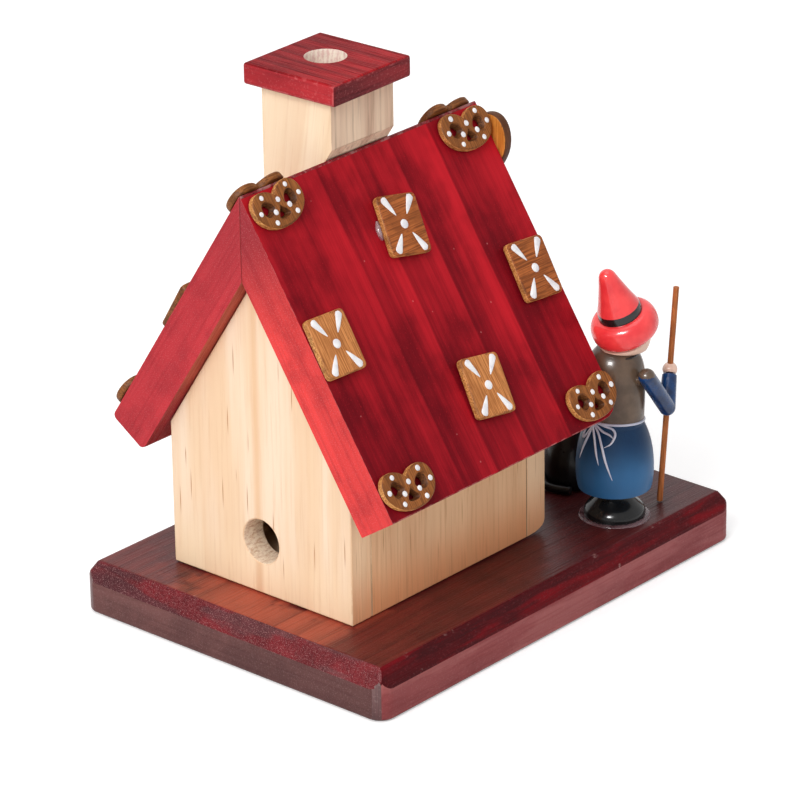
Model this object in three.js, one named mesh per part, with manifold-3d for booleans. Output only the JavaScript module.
// A wooden incense house: a gingerbread cottage that lifts off its base board.
// The smoke of a cone burning inside leaves by the bored chimney.
// Millimetres, +Z up. The front, where the figure stands, faces -Y.
// Left and right are as seen from the front. The origin is the middle of the base board's underside.

import * as THREE from 'three';
import { mergeVertices } from 'three/addons/utils/BufferGeometryUtils.js';
import Module from 'manifold-3d';

const wasm = await Module();
wasm.setup();

// Fits
const GLUE_GAP = 0.3;
const REST_GAP = 0.3;
const LIFT_PLAY = 0.5;
const STAFF_PLAY = 0.3;
const TACK_PLAY = 0.3;

// Base board
const LEFT_YARD = 20.9;
const RIGHT_YARD = 17.4;
const BACK_YARD = 13.8;
const FRONT_YARD = 46.8;
const BASE_THICKNESS = 12.6;
const BASE_CORNER_RADIUS = 4;
const BASE_BEVEL_IN = 2.6;
const BASE_BEVEL_DOWN = 4.5;

// Walls and gables
const HOUSE_WIDTH = 56.2;
const HOUSE_DEPTH = 69.4;
const WALL_HEIGHT = 36;
const WALL_THICKNESS = 6.8;
const GABLE_THICKNESS = 6.8;
const GABLE_FOOT_IN = 6.2;
const GABLE_FOOT_UP = 2.8;
const AIR_HOLE_DIAMETER = 11;
const AIR_HOLE_HEIGHT = 13.2;

// Roof boards
const ROOF_PITCH = 56.7;
const ROOF_THICKNESS = 11.35;
const LEFT_RAFTER_LENGTH = 81.1;
const RIGHT_RAFTER_LENGTH = 78.2;
const BACK_OVERHANG = 4;
const FRONT_OVERHANG = 8.2;
const ROOF_CORNER = 6.5;

// Chimney
const CHIMNEY_SIDE = 21.5;
const CHIMNEY_FROM_BACK = 29.6;
const CHIMNEY_PAST_RIDGE = 1.4;
const CHIMNEY_RISE = 14.4;
const CAP_OVERHANG = 3;
const CAP_THICKNESS = 5.2;
const CAP_TURN = 1.7;
const SMOKE_BORE_DIAMETER = 10;
const BORE_SHIFT_RIGHT = 1.5;
const BORE_SHIFT_FORWARD = 1.2;

// Gingerbread ornaments
const ORNAMENT_THICKNESS = 1.8;
const ORNAMENT_EDGE = 0.35;
const PRETZEL_WIDTH = 16.4;
const PRETZEL_HEIGHT = 9.8;
const PRETZEL_FROM_END = 8;
const LEFT_PRETZEL_FROM_RIDGE = 5.6;
const RIGHT_PRETZEL_FROM_RIDGE = 3.8;
const PRETZEL_FROM_EAVE = 5.7;
const TILE_WIDTH = 12.3;
const TILE_HEIGHT = 14.6;
const TILE_CORNER = 1.2;
const TILE_FROM_END = 6.9;
const TILE_FROM_RIDGE = 20.3;
const TILE_FROM_EAVE = 19.1;
const HEART_WIDTH = 18.4;
const HEART_HEIGHT = 20.4;
const HEART_THICKNESS = 2.4;
const HEART_BELOW_RIDGE = 2.4;

// Front door
const DOOR_WIDTH = 19;
const DOOR_HEIGHT = 31;
const DOOR_THICKNESS = 2;
const DOOR_SILL = 1;
const KNOB_RADIUS = 1.1;
const KNOB_HEIGHT = 13;
const KNOB_FROM_EDGE = 3.2;

// Incense dish on its locating board
const LOCATING_THICKNESS = 5;
const DISH_RADIUS = 16;
const DISH_DEPTH = 2.4;
const DISH_SHEET = 0.7;
const TACK_HEAD_RADIUS = 1.9;
const TACK_HEAD_HEIGHT = 0.8;
const TACK_SHANK_RADIUS = 0.6;
const TACK_SHANK_LENGTH = 4;

// Turned figure, heights above the base board
const FIGURE_OUTSIDE_WALL = 7.44;
const FIGURE_AHEAD = 17.25;
const FOOT_RADIUS = 7.5;
const ANKLE_RADIUS = 3.8;
const HEM_HEIGHT = 8;
const HEM_RADIUS = 8.9;
const SKIRT_RADIUS = 9.4;
const WAIST_HEIGHT = 24.7;
const WAIST_RADIUS = 6.9;
const CHEST_RADIUS = 7.2;
const NECK_HEIGHT = 43.7;
const NECK_RADIUS = 4.3;
const HEAD_RADIUS = 6.4;
const HEAD_RISE = 3;
const HEAD_LEFT = 1.4;
const HEAD_FORWARD = 1.5;
const NOSE_RADIUS = 0.9;
const HAT_LEFT = 0.55;
const HAT_FORWARD = 0.9;
const HAT_TILT_BACK = 21;
const HAT_TILT_RIGHT = 5;
const BRIM_RADIUS = 8.2;
const BRIM_HEIGHT = 6.6;
const HAT_BAND_RADIUS = 5.4;
const HAT_BAND_HEIGHT = 2;
const HAT_HEIGHT = 19.4;
const HAT_TIP_RADIUS = 2.1;
const HAT_HOLLOW = 0.3;
const ARM_RADIUS = 2.05;
const WRIST_RADIUS = 1.8;
const HAND_RADIUS = 1.8;
const SHOULDER_HEIGHT = 38.6;
const ELBOW_HEIGHT = 27.3;
const ELBOW_OUT = 8.4;
const ELBOW_FORWARD = 9.4;
const HAND_HEIGHT = 34.8;
const FREE_HAND_OUT = 5.2;
const FREE_HAND_FORWARD = 12.6;
const FREE_HAND_HEIGHT = 30.5;
const STAFF_RADIUS = 0.72;
const STAFF_HEIGHT = 56;
const STAFF_OUT = 3.8;
const STAFF_FORWARD = 12.75;
const STAFF_LEAN_OUT = 2.6;
const STAFF_LEAN_FORWARD = 2.3;

// Sitting cat
const CAT_LEFT_OF_DOOR = 15.75;
const CAT_AHEAD = 25.8;
const CAT_BODY_RADIUS = 7.2;
const CAT_SEAT_RADIUS = 6;
const CAT_NECK_RADIUS = 3.1;
const CAT_BODY_HEIGHT = 16;
const CAT_HEAD_RADIUS = 4.2;
const CAT_EAR_RADIUS = 1.5;
const CAT_EAR_HEIGHT = 3.4;
const CAT_EAR_SPREAD = 2.5;
const CAT_TAIL_RADIUS = 1.05;

// Size of the blocks that trim balls flat
const TRIM_SIDE = 40;

// Facets of round forms
const BORE_SIDES = 28;
const LATHE_SIDES = 28;
const SMALL_SIDES = 16;
const CURVE_STEPS = 4;
const FINE_STEPS = 5;
const CORNER_STEPS = 2;

// Derived places
const rad = THREE.MathUtils.degToRad;
const slopeSin = Math.sin(rad(ROOF_PITCH));
const slopeCos = Math.cos(rad(ROOF_PITCH));
const slopeTan = slopeSin / slopeCos;
const baseWidth = LEFT_YARD + HOUSE_WIDTH + RIGHT_YARD;
const baseLength = BACK_YARD + HOUSE_DEPTH + FRONT_YARD;
const leftWallX = LEFT_YARD - baseWidth / 2;
const houseX = leftWallX + HOUSE_WIDTH / 2;
const backY = baseLength / 2 - BACK_YARD;
const frontY = backY - HOUSE_DEPTH;
const wallBottomZ = BASE_THICKNESS + REST_GAP;
const shoulderZ = wallBottomZ + WALL_HEIGHT;
const gablePeakZ = shoulderZ + (HOUSE_WIDTH / 2) * slopeTan;
const innerRidgeZ = gablePeakZ + GLUE_GAP / slopeCos;
const ridgeZ = innerRidgeZ + ROOF_THICKNESS / slopeCos;
const roofBackY = backY + BACK_OVERHANG;
const roofFrontY = frontY - FRONT_OVERHANG;
const roofDepth = roofBackY - roofFrontY;
const chimneyLeftX = houseX - CHIMNEY_PAST_RIDGE;
const chimneyX = chimneyLeftX + CHIMNEY_SIDE / 2;
const chimneyBackY = roofBackY - CHIMNEY_FROM_BACK;
const chimneyY = chimneyBackY - CHIMNEY_SIDE / 2;
const chimneyTopZ = ridgeZ + CHIMNEY_RISE;
const boreX = chimneyX + BORE_SHIFT_RIGHT;
const boreY = chimneyY - BORE_SHIFT_FORWARD;
const locatingTopZ = BASE_THICKNESS + LOCATING_THICKNESS;

// Finishes
const PINE = { color: 0xe6c793, roughness: 0.6, metalness: 0 };
const ROOF_RED = { color: 0x8f1420, roughness: 0.45, metalness: 0 };
const BASE_RED = { color: 0x5c211f, roughness: 0.35, metalness: 0 };
const GINGERBREAD = { color: 0x9a5f2b, roughness: 0.6, metalness: 0 };
const BRASS = { color: 0xc9a24a, roughness: 0.35, metalness: 1 };
const STEEL = { color: 0x9a9a98, roughness: 0.3, metalness: 1 };
const BLACK_GLOSS = { color: 0x0b0b0c, roughness: 0.15, metalness: 0 };
const SKIRT_BLUE = { color: 0x1d4a78, roughness: 0.35, metalness: 0 };
const BODICE_GREY = { color: 0x4c463f, roughness: 0.3, metalness: 0 };
const FLESH = { color: 0xe8c3ad, roughness: 0.45, metalness: 0 };
const HAT_RED = { color: 0xd93a40, roughness: 0.2, metalness: 0 };
const STAFF_WOOD = { color: 0xa5653a, roughness: 0.55, metalness: 0 };

const house = new THREE.Group();

// Adds one named piece to a group.
function add(group, name, geometry, finish) {
  const mesh = new THREE.Mesh(geometry, new THREE.MeshStandardMaterial(finish));
  mesh.name = name;
  group.add(mesh);
  return mesh;
}

// Turns a closed geometry into a solid that can be joined and cut.
function solidOf(geometry) {
  const bare = geometry.clone();
  bare.deleteAttribute('normal');
  bare.deleteAttribute('uv');
  const welded = mergeVertices(bare, 1e-4);
  const vertProperties = new Float32Array(welded.attributes.position.array);
  const corners = welded.index.array;
  const kept = [];
  for (let i = 0; i < corners.length; i += 3) {
    const [a, b, c] = [corners[i], corners[i + 1], corners[i + 2]];
    if (a !== b && b !== c && c !== a) {
      kept.push(a, b, c);
    }
  }
  const mesh = new wasm.Mesh({ numProp: 3, vertProperties, triVerts: new Uint32Array(kept) });
  return new wasm.Manifold(mesh);
}

// Turns a solid back into a geometry.
function geometryOf(solid) {
  const mesh = solid.getMesh();
  const geometry = new THREE.BufferGeometry();
  geometry.setAttribute('position', new THREE.BufferAttribute(new Float32Array(mesh.vertProperties), 3));
  geometry.setIndex(new THREE.BufferAttribute(new Uint32Array(mesh.triVerts), 1));
  geometry.computeVertexNormals();
  return geometry;
}

// A closed outline through [x, y] corners.
function outline(corners) {
  return new THREE.Shape(corners.map(([x, y]) => new THREE.Vector2(x, y)));
}

// A slab with square edges, from an [x, y] outline, lying on z = 0.
function slab(shape, thickness, steps) {
  return new THREE.ExtrudeGeometry(shape, { depth: thickness, bevelEnabled: false, curveSegments: steps });
}

// A flat board: an upright [x, z] outline, drawn as seen from the front, from y = back towards the front.
function board(shape, thickness, back) {
  const geometry = slab(shape, thickness, BORE_SIDES / 2);
  geometry.rotateX(Math.PI / 2);
  geometry.translate(0, back, 0);
  return geometry;
}

// A plate cut from an [x, y] outline with eased edges, lying on z = 0.
function plate(shape, thickness, steps) {
  const geometry = new THREE.ExtrudeGeometry(shape, {
    depth: thickness - 2 * ORNAMENT_EDGE,
    bevelEnabled: true,
    bevelThickness: ORNAMENT_EDGE,
    bevelSize: ORNAMENT_EDGE,
    bevelOffset: -ORNAMENT_EDGE,
    bevelSegments: 1,
    curveSegments: steps,
  });
  geometry.translate(0, 0, ORNAMENT_EDGE);
  return geometry;
}

// A turned piece: a profile path of [radius, height] that starts and ends on the axis.
function turned(path, sides = LATHE_SIDES, steps = CURVE_STEPS) {
  const geometry = new THREE.LatheGeometry(path.getPoints(steps), sides);
  geometry.rotateX(Math.PI / 2);
  return geometry;
}

// A round bar along +Z from z = from to z = to, used for bores and pins.
function bar(radius, from, to, sides = BORE_SIDES) {
  const geometry = new THREE.CylinderGeometry(radius, radius, to - from, sides);
  geometry.rotateX(Math.PI / 2);
  geometry.translate(0, 0, (from + to) / 2);
  return geometry;
}

// A ball round a centre, with its poles up and down.
function ball(radius, sides, centre) {
  const geometry = new THREE.SphereGeometry(radius, sides, sides / 2);
  geometry.rotateX(Math.PI / 2);
  geometry.translate(centre.x, centre.y, centre.z);
  return geometry;
}

// A block with its top face at z = top, wide enough to cut away all that is below.
function below(top) {
  const geometry = new THREE.BoxGeometry(TRIM_SIDE, TRIM_SIDE, TRIM_SIDE);
  geometry.translate(0, 0, top - TRIM_SIDE / 2);
  return geometry;
}

function roundedRectangle(width, height, radius) {
  const shape = new THREE.Shape();
  const [x, y] = [width / 2, height / 2];
  shape.moveTo(-x + radius, -y);
  shape.lineTo(x - radius, -y);
  shape.absarc(x - radius, -y + radius, radius, -Math.PI / 2, 0);
  shape.lineTo(x, y - radius);
  shape.absarc(x - radius, y - radius, radius, 0, Math.PI / 2);
  shape.lineTo(-x + radius, y);
  shape.absarc(-x + radius, y - radius, radius, Math.PI / 2, Math.PI);
  shape.lineTo(-x, -y + radius);
  shape.absarc(-x + radius, -y + radius, radius, Math.PI, Math.PI * 1.5);
  return shape;
}

function bevelledSection(width) {
  const bevelZ = BASE_THICKNESS - BASE_BEVEL_DOWN;
  const half = width / 2;
  return outline([
    [-half, 0],
    [half, 0],
    [half, bevelZ],
    [half - BASE_BEVEL_IN, BASE_THICKNESS],
    [-half + BASE_BEVEL_IN, BASE_THICKNESS],
    [-half, bevelZ],
  ]);
}

// Base board: mitred bevels along the top, then the upright corners rounded.
const baseOutline = roundedRectangle(baseWidth, baseLength, BASE_CORNER_RADIUS);
const basePrism = slab(baseOutline, BASE_THICKNESS, CURVE_STEPS);
const sideBevels = board(bevelledSection(baseWidth), baseLength, baseLength / 2);
const endBevels = board(bevelledSection(baseLength), baseWidth, baseWidth / 2);
endBevels.rotateZ(Math.PI / 2);
const baseSolid = solidOf(basePrism).intersect(solidOf(sideBevels)).intersect(solidOf(endBevels));
add(house, 'base_plate', geometryOf(baseSolid), BASE_RED);

// Locating board inside the walls, with the incense dish tacked to it.
const locatingY = (backY + frontY) / 2;
const locatingShape = outline([
  [leftWallX + WALL_THICKNESS + LIFT_PLAY, frontY + GABLE_THICKNESS + LIFT_PLAY],
  [leftWallX + HOUSE_WIDTH - WALL_THICKNESS - LIFT_PLAY, frontY + GABLE_THICKNESS + LIFT_PLAY],
  [leftWallX + HOUSE_WIDTH - WALL_THICKNESS - LIFT_PLAY, backY - GABLE_THICKNESS - LIFT_PLAY],
  [leftWallX + WALL_THICKNESS + LIFT_PLAY, backY - GABLE_THICKNESS - LIFT_PLAY],
]);
const tackHole = new THREE.Path();
tackHole.absarc(houseX, locatingY, TACK_SHANK_RADIUS + TACK_PLAY, 0, Math.PI * 2, true);
locatingShape.holes.push(tackHole);
const locatingBoard = slab(locatingShape, LOCATING_THICKNESS, SMALL_SIDES / 2);
locatingBoard.translate(0, 0, BASE_THICKNESS);
add(house, 'locating_board', locatingBoard, PINE);

const dishGroup = new THREE.Group();
dishGroup.position.set(houseX, locatingY, locatingTopZ);
house.add(dishGroup);

const dishHoleRadius = TACK_SHANK_RADIUS + TACK_PLAY;
const dishFloorRadius = DISH_RADIUS - 2 * DISH_DEPTH;
const dishPath = new THREE.Path();
dishPath.moveTo(dishHoleRadius, 0);
dishPath.lineTo(dishFloorRadius, 0);
dishPath.quadraticCurveTo(DISH_RADIUS - DISH_DEPTH, 0, DISH_RADIUS, DISH_DEPTH - DISH_SHEET);
dishPath.lineTo(DISH_RADIUS, DISH_DEPTH);
dishPath.quadraticCurveTo(DISH_RADIUS - DISH_DEPTH, DISH_SHEET, dishFloorRadius, DISH_SHEET);
dishPath.lineTo(dishHoleRadius, DISH_SHEET);
dishPath.lineTo(dishHoleRadius, 0);
add(dishGroup, 'incense_dish', turned(dishPath), BRASS);

const tackPath = new THREE.Path();
tackPath.moveTo(0, DISH_SHEET - TACK_SHANK_LENGTH);
tackPath.lineTo(TACK_SHANK_RADIUS, DISH_SHEET - TACK_SHANK_LENGTH + TACK_SHANK_RADIUS);
tackPath.lineTo(TACK_SHANK_RADIUS, DISH_SHEET);
tackPath.lineTo(TACK_HEAD_RADIUS, DISH_SHEET);
tackPath.quadraticCurveTo(TACK_HEAD_RADIUS, DISH_SHEET + TACK_HEAD_HEIGHT, 0, DISH_SHEET + TACK_HEAD_HEIGHT);
add(dishGroup, 'dish_tack', turned(tackPath, SMALL_SIDES, CORNER_STEPS), STEEL);

// Gables reach the full width, and the side walls stand between them.
function gableShape() {
  return outline([
    [leftWallX, wallBottomZ],
    [leftWallX + HOUSE_WIDTH, wallBottomZ],
    [leftWallX + HOUSE_WIDTH, shoulderZ],
    [houseX, gablePeakZ],
    [leftWallX, shoulderZ],
  ]);
}

const backShape = gableShape();
const airHole = new THREE.Path();
airHole.absarc(houseX, wallBottomZ + AIR_HOLE_HEIGHT, AIR_HOLE_DIAMETER / 2, 0, Math.PI * 2, true);
backShape.holes.push(airHole);
add(house, 'back_gable', board(backShape, GABLE_THICKNESS, backY), PINE);

// The front gable's lower front edge is sanded round.
const footCut = new THREE.Shape();
footCut.moveTo(frontY + GABLE_FOOT_IN, wallBottomZ);
footCut.quadraticCurveTo(frontY, wallBottomZ, frontY, wallBottomZ + GABLE_FOOT_UP);
footCut.lineTo(frontY - GABLE_FOOT_UP, wallBottomZ + GABLE_FOOT_UP);
footCut.lineTo(frontY - GABLE_FOOT_UP, wallBottomZ - GABLE_FOOT_UP);
footCut.lineTo(frontY + GABLE_FOOT_IN, wallBottomZ - GABLE_FOOT_UP);
const footBar = slab(footCut, 2 * HOUSE_WIDTH, FINE_STEPS);
footBar.rotateX(Math.PI / 2);
footBar.rotateZ(Math.PI / 2);
footBar.translate(houseX - HOUSE_WIDTH, 0, 0);
const frontBoard = board(gableShape(), GABLE_THICKNESS, frontY + GABLE_THICKNESS);
add(house, 'front_gable', geometryOf(solidOf(frontBoard).subtract(solidOf(footBar))), PINE);

const innerShoulderZ = shoulderZ + WALL_THICKNESS * slopeTan;
const wallLength = HOUSE_DEPTH - 2 * GABLE_THICKNESS;
for (const [name, side] of [['left_wall', -1], ['right_wall', 1]]) {
  const outerX = houseX + (side * HOUSE_WIDTH) / 2;
  const innerX = outerX - side * WALL_THICKNESS;
  const corners = [
    [innerX, wallBottomZ],
    [outerX, wallBottomZ],
    [outerX, shoulderZ],
    [innerX, innerShoulderZ],
  ];
  const shape = outline(side > 0 ? corners : corners.reverse());
  add(house, name, board(shape, wallLength, backY - GABLE_THICKNESS), PINE);
}

// A slope's own frame: x towards the viewer's right, y up the slope to the ridge, z out of the roof.
function slopeFrame(side) {
  const frame = new THREE.Group();
  const right = new THREE.Vector3(0, side, 0);
  const up = new THREE.Vector3(-side * slopeCos, 0, slopeSin);
  const out = new THREE.Vector3(side * slopeSin, 0, slopeCos);
  frame.quaternion.setFromRotationMatrix(new THREE.Matrix4().makeBasis(right, up, out));
  frame.position.set(houseX, (roofBackY + roofFrontY) / 2, ridgeZ);
  house.add(frame);
  frame.updateMatrix();
  return frame;
}

const leftSlope = slopeFrame(-1);
const rightSlope = slopeFrame(1);
const endColumn = roofDepth / 2;

// Roof boards, mitred at the ridge with a fine seam and cut square at the eaves.
function roofSection(side, rafterLength) {
  const seam = GLUE_GAP / 2;
  const eaveX = rafterLength * slopeCos;
  const eaveZ = ridgeZ - rafterLength * slopeSin;
  const corners = [
    [seam, innerRidgeZ - seam * slopeTan],
    [eaveX - ROOF_THICKNESS * slopeSin, eaveZ - ROOF_THICKNESS * slopeCos],
    [eaveX, eaveZ],
    [seam, ridgeZ - seam * slopeTan],
  ].map(([x, z]) => [houseX + side * x, z]);
  return outline(side > 0 ? corners : corners.reverse());
}

const smokeBore = bar(SMOKE_BORE_DIAMETER / 2, shoulderZ, chimneyTopZ + 2 * CAP_THICKNESS);
smokeBore.translate(boreX, boreY, 0);
const smokeSolid = solidOf(smokeBore);

// The left board's lower front corner is rounded.
const cornerCut = new THREE.Shape();
cornerCut.moveTo(endColumn - ROOF_CORNER, -LEFT_RAFTER_LENGTH);
cornerCut.quadraticCurveTo(endColumn, -LEFT_RAFTER_LENGTH, endColumn, ROOF_CORNER - LEFT_RAFTER_LENGTH);
cornerCut.lineTo(endColumn + ROOF_CORNER, ROOF_CORNER - LEFT_RAFTER_LENGTH);
cornerCut.lineTo(endColumn + ROOF_CORNER, -ROOF_CORNER - LEFT_RAFTER_LENGTH);
cornerCut.lineTo(endColumn - ROOF_CORNER, -ROOF_CORNER - LEFT_RAFTER_LENGTH);
const cornerBlock = slab(cornerCut, 2 * ROOF_THICKNESS, FINE_STEPS);
cornerBlock.translate(0, 0, -1.5 * ROOF_THICKNESS);
cornerBlock.applyMatrix4(leftSlope.matrix);
const leftRoofBoard = board(roofSection(-1, LEFT_RAFTER_LENGTH), roofDepth, roofBackY);
const leftRoofSolid = solidOf(leftRoofBoard).subtract(solidOf(cornerBlock));
add(house, 'left_roof_board', geometryOf(leftRoofSolid), ROOF_RED);
const rightRoofBoard = board(roofSection(1, RIGHT_RAFTER_LENGTH), roofDepth, roofBackY);
const rightRoofSolid = solidOf(rightRoofBoard).subtract(smokeSolid);
add(house, 'right_roof_board', geometryOf(rightRoofSolid), ROOF_RED);

// Chimney block: its foot follows the right slope and just passes the ridge.
function chimneyFootZ(x) {
  return ridgeZ - (x - houseX) * slopeTan + GLUE_GAP / slopeCos;
}

const chimneyRightX = chimneyLeftX + CHIMNEY_SIDE;
const chimneySection = outline([
  [chimneyLeftX, chimneyFootZ(chimneyLeftX)],
  [chimneyRightX, chimneyFootZ(chimneyRightX)],
  [chimneyRightX, chimneyTopZ],
  [chimneyLeftX, chimneyTopZ],
]);
const chimneySolid = solidOf(board(chimneySection, CHIMNEY_SIDE, chimneyBackY)).subtract(smokeSolid);
add(house, 'chimney_block', geometryOf(chimneySolid), PINE);

// The cap is glued on a little askew, with its bore over the block's.
const capHalf = CHIMNEY_SIDE / 2 + CAP_OVERHANG;
const capSin = capHalf * Math.sin(rad(CAP_TURN));
const capCos = capHalf * Math.cos(rad(CAP_TURN));
const capShape = outline([
  [chimneyX - capCos + capSin, chimneyY - capCos - capSin],
  [chimneyX + capCos + capSin, chimneyY - capCos + capSin],
  [chimneyX + capCos - capSin, chimneyY + capCos + capSin],
  [chimneyX - capCos - capSin, chimneyY + capCos - capSin],
]);
const capHole = new THREE.Path();
capHole.absarc(boreX, boreY, SMOKE_BORE_DIAMETER / 2, 0, Math.PI * 2, true);
capShape.holes.push(capHole);
const capGeometry = slab(capShape, CAP_THICKNESS, BORE_SIDES / 2);
capGeometry.translate(0, 0, chimneyTopZ);
add(house, 'chimney_cap', capGeometry, ROOF_RED);

// Pretzel outline: two lobes over a broad bow, pierced between its crossed arms.
function pretzelShape() {
  const [w, h] = [PRETZEL_WIDTH / 2, PRETZEL_HEIGHT / 2];
  const shape = new THREE.Shape();
  shape.moveTo(0, 0.58 * h);
  shape.bezierCurveTo(-0.14 * w, 0.86 * h, -0.34 * w, h, -0.56 * w, h);
  shape.bezierCurveTo(-0.84 * w, h, -w, 0.66 * h, -w, 0.2 * h);
  shape.bezierCurveTo(-w, -0.54 * h, -0.54 * w, -h, 0, -h);
  shape.bezierCurveTo(0.54 * w, -h, w, -0.54 * h, w, 0.2 * h);
  shape.bezierCurveTo(w, 0.66 * h, 0.84 * w, h, 0.56 * w, h);
  shape.bezierCurveTo(0.34 * w, h, 0.14 * w, 0.86 * h, 0, 0.58 * h);
  for (const side of [-1, 1]) {
    const loop = new THREE.Path();
    loop.moveTo(side * 0.22 * w, 0.06 * h);
    loop.bezierCurveTo(side * 0.28 * w, 0.4 * h, side * 0.54 * w, 0.7 * h, side * 0.66 * w, 0.36 * h);
    loop.bezierCurveTo(side * 0.76 * w, -0.1 * h, side * 0.56 * w, -0.6 * h, side * 0.22 * w, 0.06 * h);
    shape.holes.push(loop);
  }
  const bow = new THREE.Path();
  bow.moveTo(0, 0);
  bow.bezierCurveTo(0.1 * w, -0.24 * h, 0.42 * w, -0.6 * h, 0, -0.6 * h);
  bow.bezierCurveTo(-0.42 * w, -0.6 * h, -0.1 * w, -0.24 * h, 0, 0);
  shape.holes.push(bow);
  return shape;
}

function heartShape() {
  const [w, h] = [HEART_WIDTH / 2, HEART_HEIGHT];
  const shape = new THREE.Shape();
  shape.moveTo(0, -0.14 * h);
  shape.bezierCurveTo(-0.12 * w, -0.03 * h, -0.3 * w, 0, -0.5 * w, 0);
  shape.bezierCurveTo(-0.82 * w, 0, -w, -0.14 * h, -w, -0.3 * h);
  shape.bezierCurveTo(-w, -0.58 * h, -0.4 * w, -0.8 * h, 0, -h);
  shape.bezierCurveTo(0.4 * w, -0.8 * h, w, -0.58 * h, w, -0.3 * h);
  shape.bezierCurveTo(w, -0.14 * h, 0.82 * w, 0, 0.5 * w, 0);
  shape.bezierCurveTo(0.3 * w, 0, 0.12 * w, -0.03 * h, 0, -0.14 * h);
  return shape;
}

// Ornaments lie in rows and columns of a slope's frame. Each piece is glued on by hand,
// so it sits a little off its row and is turned a few degrees.
const pretzelColumn = endColumn - PRETZEL_FROM_END;
const tileColumn = endColumn - TILE_FROM_END;
const ridgeTile = { x: 0, y: -TILE_FROM_RIDGE, drift: [0.4, 0], turn: -10.5 };

function pretzelPlaces(fromRidge, rafterLength) {
  const lowRow = PRETZEL_FROM_EAVE - rafterLength;
  return [
    { x: -pretzelColumn, y: -fromRidge, drift: [0.6, 0.1], turn: 7 },
    { x: pretzelColumn, y: -fromRidge, drift: [0, -0.2], turn: -1.5 },
    { x: -pretzelColumn, y: lowRow, drift: [-0.2, 0], turn: -3 },
    { x: pretzelColumn, y: lowRow, drift: [0.2, 0], turn: 6 },
  ];
}

function lowerTiles(rafterLength) {
  const middleRow = -rafterLength / 2;
  return [
    { x: -tileColumn, y: middleRow, drift: [-0.9, 1.5], turn: -2 },
    { x: tileColumn, y: middleRow, drift: [-0.7, -1.3], turn: -4 },
    { x: 0, y: TILE_FROM_EAVE - rafterLength, drift: [2.9, 0], turn: -8 },
  ];
}

function layOrnament(frame, name, geometry, place) {
  const mesh = add(frame, name, geometry, GINGERBREAD);
  mesh.position.set(place.x + place.drift[0], place.y + place.drift[1], GLUE_GAP);
  mesh.rotation.z = rad(place.turn);
}

const slopes = [
  {
    name: 'left',
    frame: leftSlope,
    pretzels: pretzelPlaces(LEFT_PRETZEL_FROM_RIDGE, LEFT_RAFTER_LENGTH),
    tiles: [...lowerTiles(LEFT_RAFTER_LENGTH), ridgeTile],
  },
  {
    name: 'right',
    frame: rightSlope,
    pretzels: pretzelPlaces(RIGHT_PRETZEL_FROM_RIDGE, RIGHT_RAFTER_LENGTH),
    tiles: lowerTiles(RIGHT_RAFTER_LENGTH),
  },
];
for (const slope of slopes) {
  slope.pretzels.forEach((place, i) => {
    const pretzel = plate(pretzelShape(), ORNAMENT_THICKNESS, FINE_STEPS);
    layOrnament(slope.frame, `pretzel_${slope.name}_${i + 1}`, pretzel, place);
  });
  slope.tiles.forEach((place, i) => {
    const tileShape = roundedRectangle(TILE_WIDTH, TILE_HEIGHT, TILE_CORNER);
    const tile = plate(tileShape, ORNAMENT_THICKNESS, CORNER_STEPS);
    layOrnament(slope.frame, `tile_${slope.name}_${i + 1}`, tile, place);
  });
}

const heart = plate(heartShape(), HEART_THICKNESS, FINE_STEPS);
heart.rotateX(Math.PI / 2);
heart.translate(houseX, roofFrontY - GLUE_GAP, ridgeZ - HEART_BELOW_RIDGE);
add(house, 'gable_heart', heart, GINGERBREAD);

// Front door with its knob, glued to the front gable.
const archRadius = DOOR_WIDTH / 2;
const doorShape = new THREE.Shape();
doorShape.moveTo(-archRadius, 0);
doorShape.lineTo(archRadius, 0);
doorShape.lineTo(archRadius, DOOR_HEIGHT - archRadius);
doorShape.absarc(0, DOOR_HEIGHT - archRadius, archRadius, 0, Math.PI);
const doorBackY = frontY - GLUE_GAP;
const doorBottomZ = wallBottomZ + DOOR_SILL;
const door = plate(doorShape, DOOR_THICKNESS, FINE_STEPS);
door.rotateX(Math.PI / 2);
door.translate(houseX, doorBackY, doorBottomZ);
add(house, 'front_door', door, GINGERBREAD);

const knobX = houseX + archRadius - KNOB_FROM_EDGE;
const knobPath = new THREE.Path();
knobPath.moveTo(0, 0);
knobPath.lineTo(0.6 * KNOB_RADIUS, 0);
knobPath.absarc(0, KNOB_RADIUS, KNOB_RADIUS, -Math.acos(0.6), Math.PI / 2);
const knob = turned(knobPath, SMALL_SIDES, CORNER_STEPS);
knob.rotateX(Math.PI / 2);
knob.translate(knobX, doorBackY - DOOR_THICKNESS - GLUE_GAP, doorBottomZ + KNOB_HEIGHT);
add(house, 'door_knob', knob, BRASS);

// Turned figure, one group on the base board.
const figure = new THREE.Group();
figure.position.set(leftWallX - FIGURE_OUTSIDE_WALL, frontY - FIGURE_AHEAD, BASE_THICKNESS);
house.add(figure);

const footPath = new THREE.Path();
footPath.moveTo(0, 0);
footPath.lineTo(0.94 * FOOT_RADIUS, 0);
footPath.quadraticCurveTo(FOOT_RADIUS, 0, FOOT_RADIUS, 0.15 * HEM_HEIGHT);
footPath.bezierCurveTo(
  FOOT_RADIUS, 0.45 * HEM_HEIGHT,
  ANKLE_RADIUS, 0.5 * HEM_HEIGHT,
  ANKLE_RADIUS, HEM_HEIGHT,
);
footPath.lineTo(0, HEM_HEIGHT);
add(figure, 'figure_foot', turned(footPath), BLACK_GLOSS);

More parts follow.
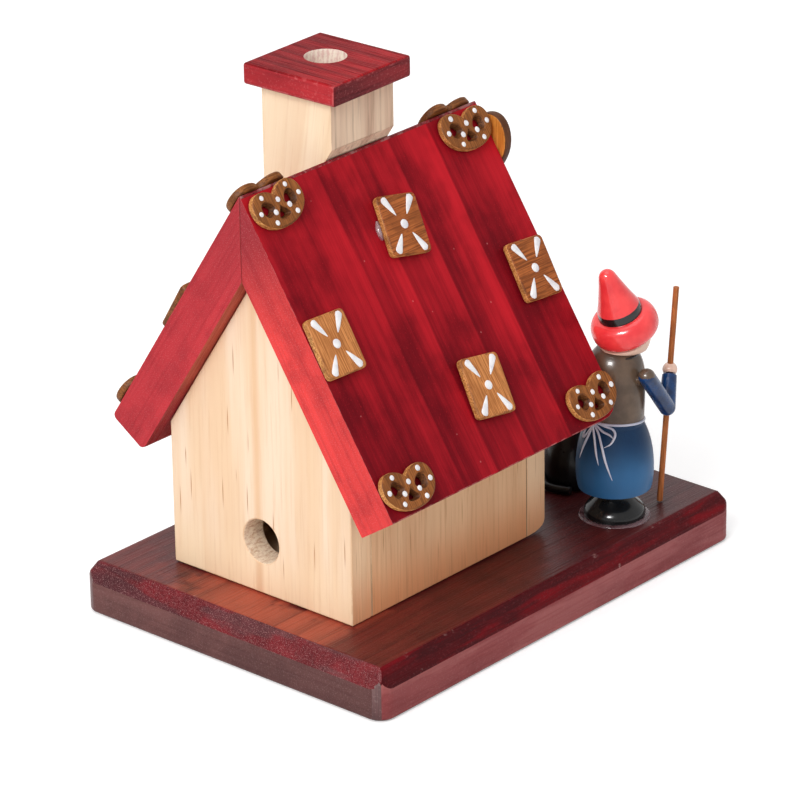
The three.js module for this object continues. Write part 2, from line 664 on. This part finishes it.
const skirtRise = WAIST_HEIGHT - HEM_HEIGHT;
const skirtPath = new THREE.Path();
skirtPath.moveTo(0, HEM_HEIGHT);
skirtPath.lineTo(HEM_RADIUS, HEM_HEIGHT);
skirtPath.quadraticCurveTo(
  SKIRT_RADIUS, HEM_HEIGHT + 0.12 * skirtRise,
  SKIRT_RADIUS, HEM_HEIGHT + 0.3 * skirtRise,
);
skirtPath.quadraticCurveTo(
  SKIRT_RADIUS, HEM_HEIGHT + 0.7 * skirtRise,
  WAIST_RADIUS, WAIST_HEIGHT,
);
skirtPath.lineTo(0, WAIST_HEIGHT);
add(figure, 'figure_skirt', turned(skirtPath), SKIRT_BLUE);

const chestRise = NECK_HEIGHT - WAIST_HEIGHT;
const bodicePath = new THREE.Path();
bodicePath.moveTo(0, WAIST_HEIGHT);
bodicePath.lineTo(WAIST_RADIUS, WAIST_HEIGHT);
bodicePath.quadraticCurveTo(
  CHEST_RADIUS, WAIST_HEIGHT + 0.25 * chestRise,
  CHEST_RADIUS, WAIST_HEIGHT + 0.56 * chestRise,
);
bodicePath.bezierCurveTo(
  CHEST_RADIUS, NECK_HEIGHT - 0.22 * chestRise,
  0.875 * CHEST_RADIUS, NECK_HEIGHT - 0.08 * chestRise,
  NECK_RADIUS, NECK_HEIGHT,
);
bodicePath.lineTo(0, NECK_HEIGHT);
add(figure, 'figure_bodice', turned(bodicePath), BODICE_GREY);

// Hat first, because its flat underside trims the head.
const headCentre = new THREE.Vector3(-HEAD_LEFT, -HEAD_FORWARD, NECK_HEIGHT + HEAD_RISE);
const hat = new THREE.Group();
hat.position.copy(headCentre).add(new THREE.Vector3(-HAT_LEFT, -HAT_FORWARD, 0));
hat.rotation.set(-rad(HAT_TILT_BACK), rad(HAT_TILT_RIGHT), 0);
figure.add(hat);
hat.updateMatrix();

const brimHalf = BRIM_HEIGHT / 2;
const hatPath = new THREE.Path();
hatPath.moveTo(0, 0);
hatPath.lineTo(0.66 * BRIM_RADIUS, 0);
hatPath.bezierCurveTo(
  0.9 * BRIM_RADIUS, 0,
  BRIM_RADIUS, 0.35 * brimHalf,
  BRIM_RADIUS, 0.9 * brimHalf,
);
hatPath.bezierCurveTo(
  BRIM_RADIUS, 1.6 * brimHalf,
  0.85 * BRIM_RADIUS, BRIM_HEIGHT,
  HAT_BAND_RADIUS, BRIM_HEIGHT,
);
hatPath.lineTo(0.95 * HAT_BAND_RADIUS, BRIM_HEIGHT + HAT_BAND_HEIGHT);
hatPath.quadraticCurveTo(
  (HAT_BAND_RADIUS + HAT_TIP_RADIUS) / 2 - HAT_HOLLOW, (BRIM_HEIGHT + HAT_HEIGHT) / 2,
  HAT_TIP_RADIUS, HAT_HEIGHT - 0.8 * HAT_TIP_RADIUS,
);
hatPath.bezierCurveTo(
  0.8 * HAT_TIP_RADIUS, HAT_HEIGHT - 0.2 * HAT_TIP_RADIUS,
  0.4 * HAT_TIP_RADIUS, HAT_HEIGHT,
  0, HAT_HEIGHT,
);
add(hat, 'figure_hat', turned(hatPath), HAT_RED);

const noseCentre = headCentre.clone().add(new THREE.Vector3(0, -HEAD_RADIUS, -2 * NOSE_RADIUS));
const hatTrim = below(0);
hatTrim.rotateX(Math.PI);
hatTrim.translate(0, 0, -GLUE_GAP);
hatTrim.applyMatrix4(hat.matrix);
const headSolid = solidOf(ball(HEAD_RADIUS, LATHE_SIDES, headCentre))
  .add(solidOf(ball(NOSE_RADIUS, SMALL_SIDES, noseCentre)))
  .subtract(solidOf(hatTrim))
  .subtract(solidOf(below(NECK_HEIGHT)));
add(figure, 'figure_head', geometryOf(headSolid), FLESH);

// Walking staff, leaning a little, through the staff hand.
const staffFoot = new THREE.Vector3(-STAFF_OUT, -STAFF_FORWARD, GLUE_GAP);
const staffLean = new THREE.Vector3(-STAFF_LEAN_OUT, -STAFF_LEAN_FORWARD, STAFF_HEIGHT - GLUE_GAP);
const staffTop = staffFoot.clone().add(staffLean);
const upward = new THREE.Vector3(0, 0, 1);

// A matrix that carries +Z from one point towards another.
function aimed(from, to) {
  const turn = new THREE.Quaternion().setFromUnitVectors(upward, to.clone().sub(from).normalize());
  return new THREE.Matrix4().compose(from, turn, new THREE.Vector3(1, 1, 1));
}

const staffAim = aimed(staffFoot, staffTop);
const staffLength = staffFoot.distanceTo(staffTop);
const staff = bar(STAFF_RADIUS, 0, staffLength, SMALL_SIDES);
staff.applyMatrix4(staffAim);
add(figure, 'walking_staff', staff, STAFF_WOOD);
const staffBore = bar(STAFF_RADIUS + STAFF_PLAY, -staffLength, 2 * staffLength, SMALL_SIDES);
staffBore.applyMatrix4(staffAim);
const staffBoreSolid = solidOf(staffBore);

// A limb with a round start and a flat end.
function limb(from, to, startRadius, endRadius) {
  const path = new THREE.Path();
  const length = from.distanceTo(to);
  path.moveTo(0, -startRadius);
  path.absarc(0, 0, startRadius, -Math.PI / 2, 0);
  path.lineTo(endRadius, length);
  path.lineTo(0, length);
  const geometry = turned(path, SMALL_SIDES, CORNER_STEPS);
  geometry.applyMatrix4(aimed(from, to));
  return geometry;
}

// A hand: a ball cut flat at the cuff.
function hand(elbow, centre, cuffDrop) {
  const length = elbow.distanceTo(centre);
  const fist = solidOf(ball(HAND_RADIUS, SMALL_SIDES, new THREE.Vector3(0, 0, length)));
  const geometry = geometryOf(fist.subtract(solidOf(below(length - cuffDrop + GLUE_GAP))));
  geometry.applyMatrix4(aimed(elbow, centre));
  return geometry;
}

const shoulderOut = CHEST_RADIUS + ARM_RADIUS + GLUE_GAP;
const cuffDrop = 0.7 * HAND_RADIUS;
const gripShare = (HAND_HEIGHT - GLUE_GAP) / (STAFF_HEIGHT - GLUE_GAP);
const arms = [
  { name: 'staff', side: -1, grip: staffFoot.clone().lerp(staffTop, gripShare) },
  { name: 'free', side: 1, grip: new THREE.Vector3(FREE_HAND_OUT, -FREE_HAND_FORWARD, FREE_HAND_HEIGHT) },
];
for (const arm of arms) {
  const shoulder = new THREE.Vector3(arm.side * shoulderOut, 0, SHOULDER_HEIGHT);
  const elbow = new THREE.Vector3(arm.side * ELBOW_OUT, -ELBOW_FORWARD, ELBOW_HEIGHT);
  const reach = elbow.distanceTo(arm.grip);
  const cuff = elbow.clone().lerp(arm.grip, (reach - cuffDrop) / reach);
  const upperArm = solidOf(limb(shoulder, elbow, ARM_RADIUS, ARM_RADIUS));
  const forearm = solidOf(limb(elbow, cuff, ARM_RADIUS, WRIST_RADIUS));
  const sleeve = upperArm.add(forearm).subtract(staffBoreSolid);
  add(figure, `figure_${arm.name}_arm`, geometryOf(sleeve), SKIRT_BLUE);
  const fist = solidOf(hand(elbow, arm.grip, cuffDrop)).subtract(staffBoreSolid);
  add(figure, `figure_${arm.name}_hand`, geometryOf(fist), FLESH);
}

// Sitting cat before the door.
const cat = new THREE.Group();
cat.position.set(houseX - CAT_LEFT_OF_DOOR, frontY - CAT_AHEAD, BASE_THICKNESS);
house.add(cat);

const catPath = new THREE.Path();
catPath.moveTo(0, 0);
catPath.lineTo(CAT_SEAT_RADIUS, 0);
catPath.quadraticCurveTo(CAT_BODY_RADIUS, 0.05 * CAT_BODY_HEIGHT, CAT_BODY_RADIUS, 0.28 * CAT_BODY_HEIGHT);
catPath.bezierCurveTo(
  CAT_BODY_RADIUS, 0.8 * CAT_BODY_HEIGHT,
  CAT_NECK_RADIUS, 0.82 * CAT_BODY_HEIGHT,
  CAT_NECK_RADIUS, CAT_BODY_HEIGHT,
);
catPath.lineTo(0, CAT_BODY_HEIGHT);
add(cat, 'cat_body', turned(catPath), BLACK_GLOSS);

const catHeadRise = Math.sqrt(CAT_HEAD_RADIUS ** 2 - CAT_NECK_RADIUS ** 2);
const catHeadCentre = new THREE.Vector3(0, 0, CAT_BODY_HEIGHT + catHeadRise);
let catHead = solidOf(ball(CAT_HEAD_RADIUS, SMALL_SIDES, catHeadCentre));
for (const side of [-1, 1]) {
  const ear = new THREE.ConeGeometry(CAT_EAR_RADIUS, CAT_EAR_HEIGHT, SMALL_SIDES / 2);
  ear.rotateX(Math.PI / 2);
  ear.translate(side * CAT_EAR_SPREAD, 0, catHeadCentre.z + CAT_HEAD_RADIUS);
  catHead = catHead.add(solidOf(ear));
}
add(cat, 'cat_head', geometryOf(catHead.subtract(solidOf(below(CAT_BODY_HEIGHT)))), BLACK_GLOSS);

// The tail lies round the body on the base board, from the back to the right side.
const tailSweep = CAT_BODY_RADIUS + CAT_TAIL_RADIUS + GLUE_GAP;
const tailPoints = [125, 85, 45, 3].map((angle) => {
  const point = new THREE.Vector3(tailSweep, 0, CAT_TAIL_RADIUS + GLUE_GAP);
  return point.applyAxisAngle(upward, rad(angle));
});
const tailSection = new THREE.Shape();
tailSection.absarc(0, 0, CAT_TAIL_RADIUS, 0, Math.PI * 2);
const tail = new THREE.ExtrudeGeometry(tailSection, {
  steps: 2 * FINE_STEPS,
  extrudePath: new THREE.CatmullRomCurve3(tailPoints),
  bevelEnabled: false,
  curveSegments: FINE_STEPS,
});
add(cat, 'cat_tail', tail, BLACK_GLOSS);

export default house;
